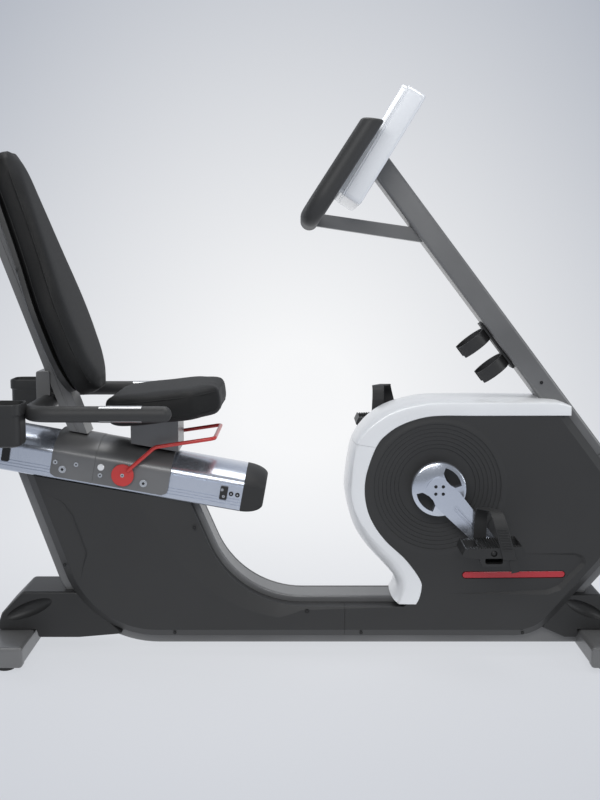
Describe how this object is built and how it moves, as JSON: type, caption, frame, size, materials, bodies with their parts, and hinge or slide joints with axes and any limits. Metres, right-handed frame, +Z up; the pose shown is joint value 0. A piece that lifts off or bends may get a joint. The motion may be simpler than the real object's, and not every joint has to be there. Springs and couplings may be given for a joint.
{
  "type": "exercise bike",
  "caption": "Recumbent exercise bike: padded seat and backrest sliding on a sloping rail, pedals ahead of the rider, a console on a slanted mast and side handles.",
  "frame": {"origin": "on the floor, under the middle of the bike's bounding box", "axes": "+X to the front, from the seat to the pedals; +Y to the rider's left; +Z up"},
  "size_m": [1.5866, 0.618, 1.3384],
  "materials": {
    "frame_paint": "satin dark grey powder coat",
    "cover_plastic": "fine-grained moulded dark grey",
    "trim_plastic": "fine-grained moulded black",
    "silver_plastic": "satin silver paint on plastic",
    "rail_aluminium": "anodised, bright",
    "crank_alloy": "polished cast alloy",
    "steel": "turned",
    "iron": "machined and painted",
    "red_paint": "satin red",
    "rubber": "matt black",
    "foam_grip": "matt black foam sleeve",
    "vinyl": "fine-grained black upholstery vinyl"
  },
  "bodies": {
    "frame": {"seat_rail": "rail_aluminium", "rail_cap_front": "rubber", "rail_cap_rear": "rubber", "rail_stop_front": "rubber", "rail_stop_rear": "rubber", "rear_bottom_tube": "frame_paint", "step_tube": "frame_paint", "mast_tube": "frame_paint", "nose_tube": "frame_paint", "bottom_bracket": "frame_paint", "rear_cover_right": "cover_plastic", "rear_cover_left": "cover_plastic", "front_cover_right": "cover_plastic", "front_cover_left": "cover_plastic", "lower_shroud": "silver_plastic", "upper_shroud": "silver_plastic", "front_stabilizer": "frame_paint", "rear_stabilizer": "frame_paint", "front_stabilizer_cover": "trim_plastic", "rear_stabilizer_cover": "trim_plastic", "console_housing": "silver_plastic", "console_bezel": "trim_plastic", "console_handlebar": "foam_grip", "handlebar_bracket": "frame_paint", "bottle_holder": "trim_plastic", "drive_belt": "rubber", "flywheel_yoke": "steel", "brake_magnets": "steel"},
    "crank": {"crank_axle": "steel", "drive_pulley": "trim_plastic", "crank_right": "crank_alloy", "crank_left": "crank_alloy"},
    "pedal_right": {"pedal_right": "trim_plastic", "strap_right": "rubber"},
    "pedal_left": {"pedal_left": "trim_plastic", "strap_left": "rubber"},
    "flywheel": {"flywheel": "iron"},
    "idler_pulley": {"idler_pulley": "trim_plastic"},
    "seat": {"seat_carriage": "frame_paint", "glide_pad_right": "trim_plastic", "glide_pad_left": "trim_plastic", "seat_bracket": "frame_paint", "seat_pad": "vinyl", "backrest_post": "frame_paint", "backrest_shell": "trim_plastic", "backrest_pad": "vinyl", "side_handlebar": "foam_grip", "handlebar_clamp": "frame_paint", "tray_right": "trim_plastic", "tray_left": "trim_plastic"},
    "release_lever": {"release_lever": "red_paint"},
    "foot_front_right": {"foot_front_right": "rubber"},
    "foot_front_left": {"foot_front_left": "rubber"},
    "foot_rear_right": {"foot_rear_right": "rubber"},
    "foot_rear_left": {"foot_rear_left": "rubber"},
    "transport_wheel_right": {"transport_wheel_right": "rubber"},
    "transport_wheel_left": {"transport_wheel_left": "rubber"},
    "console_key_right": {"console_key_right": "trim_plastic"},
    "console_key_middle": {"console_key_middle": "trim_plastic"},
    "console_key_left": {"console_key_left": "trim_plastic"}
  },
  "joints": [
    {"name": "crank_spin", "type": "hinge", "parent": "frame", "child": "crank", "pos_m": [0.32531, 0, 0.4175], "axis": [0, 1, 0], "continuous": true},
    {"name": "pedal_right_spin", "type": "hinge", "parent": "crank", "child": "pedal_right", "pos_m": [0.43657, -0.2, 0.29565], "axis": [0, 1, 0], "continuous": true},
    {"name": "pedal_left_spin", "type": "hinge", "parent": "crank", "child": "pedal_left", "pos_m": [0.21405, 0.2, 0.53935], "axis": [0, 1, 0], "continuous": true},
    {"name": "flywheel_spin", "type": "hinge", "parent": "frame", "child": "flywheel", "pos_m": [0.52131, 0, 0.3], "axis": [0, 1, 0], "continuous": true},
    {"name": "idler_spin", "type": "hinge", "parent": "frame", "child": "idler_pulley", "pos_m": [0.4888, 0.059, 0.41247], "axis": [0, 1, 0], "continuous": true},
    {"name": "seat_slide", "type": "slide", "parent": "frame", "child": "seat", "axis": [0.9842, 0, -0.1771], "range_m": [-0.1, 0.11]},
    {"name": "lever_lift", "type": "hinge", "parent": "seat", "child": "release_lever", "pos_m": [-0.42108, 0, 0.44861], "axis": [0, -1, 0], "range_deg": [0, 10], "stiffness_Nm_per_rad": 8, "springref_deg": -20.05},
    {"name": "foot_rear_right_turn", "type": "hinge", "parent": "frame", "child": "foot_rear_right", "pos_m": [-0.69169, -0.172, 0.006], "axis": [0, 0, 1], "range_deg": [-360, 360]},
    {"name": "foot_rear_left_turn", "type": "hinge", "parent": "frame", "child": "foot_rear_left", "pos_m": [-0.69169, 0.172, 0.006], "axis": [0, 0, 1], "range_deg": [-360, 360]},
    {"name": "foot_front_right_turn", "type": "hinge", "parent": "frame", "child": "foot_front_right", "pos_m": [0.72331, -0.172, 0.006], "axis": [0, 0, 1], "range_deg": [-360, 360]},
    {"name": "foot_front_left_turn", "type": "hinge", "parent": "frame", "child": "foot_front_left", "pos_m": [0.72331, 0.172, 0.006], "axis": [0, 0, 1], "range_deg": [-360, 360]},
    {"name": "transport_wheel_right_spin", "type": "hinge", "parent": "frame", "child": "transport_wheel_right", "pos_m": [0.76031, -0.11, 0.036], "axis": [0, 1, 0], "continuous": true},
    {"name": "transport_wheel_left_spin", "type": "hinge", "parent": "frame", "child": "transport_wheel_left", "pos_m": [0.76031, 0.11, 0.036], "axis": [0, 1, 0], "continuous": true},
    {"name": "console_key_right_press", "type": "slide", "parent": "frame", "child": "console_key_right", "axis": [0.8526, 0, -0.5225], "range_m": [0, 0.0015], "stiffness_N_per_m": 400, "springref_m": -0.0008},
    {"name": "console_key_middle_press", "type": "slide", "parent": "frame", "child": "console_key_middle", "axis": [0.8526, 0, -0.5225], "range_m": [0, 0.0015], "stiffness_N_per_m": 400, "springref_m": -0.0008},
    {"name": "console_key_left_press", "type": "slide", "parent": "frame", "child": "console_key_left", "axis": [0.8526, 0, -0.5225], "range_m": [0, 0.0015], "stiffness_N_per_m": 400, "springref_m": -0.0008}
  ],
  "couplings": [
    {"joint": "flywheel_spin", "follows": "crank_spin", "ratio": 5.0526},
    {"joint": "idler_spin", "follows": "crank_spin", "ratio": -4.3636}
  ]
}
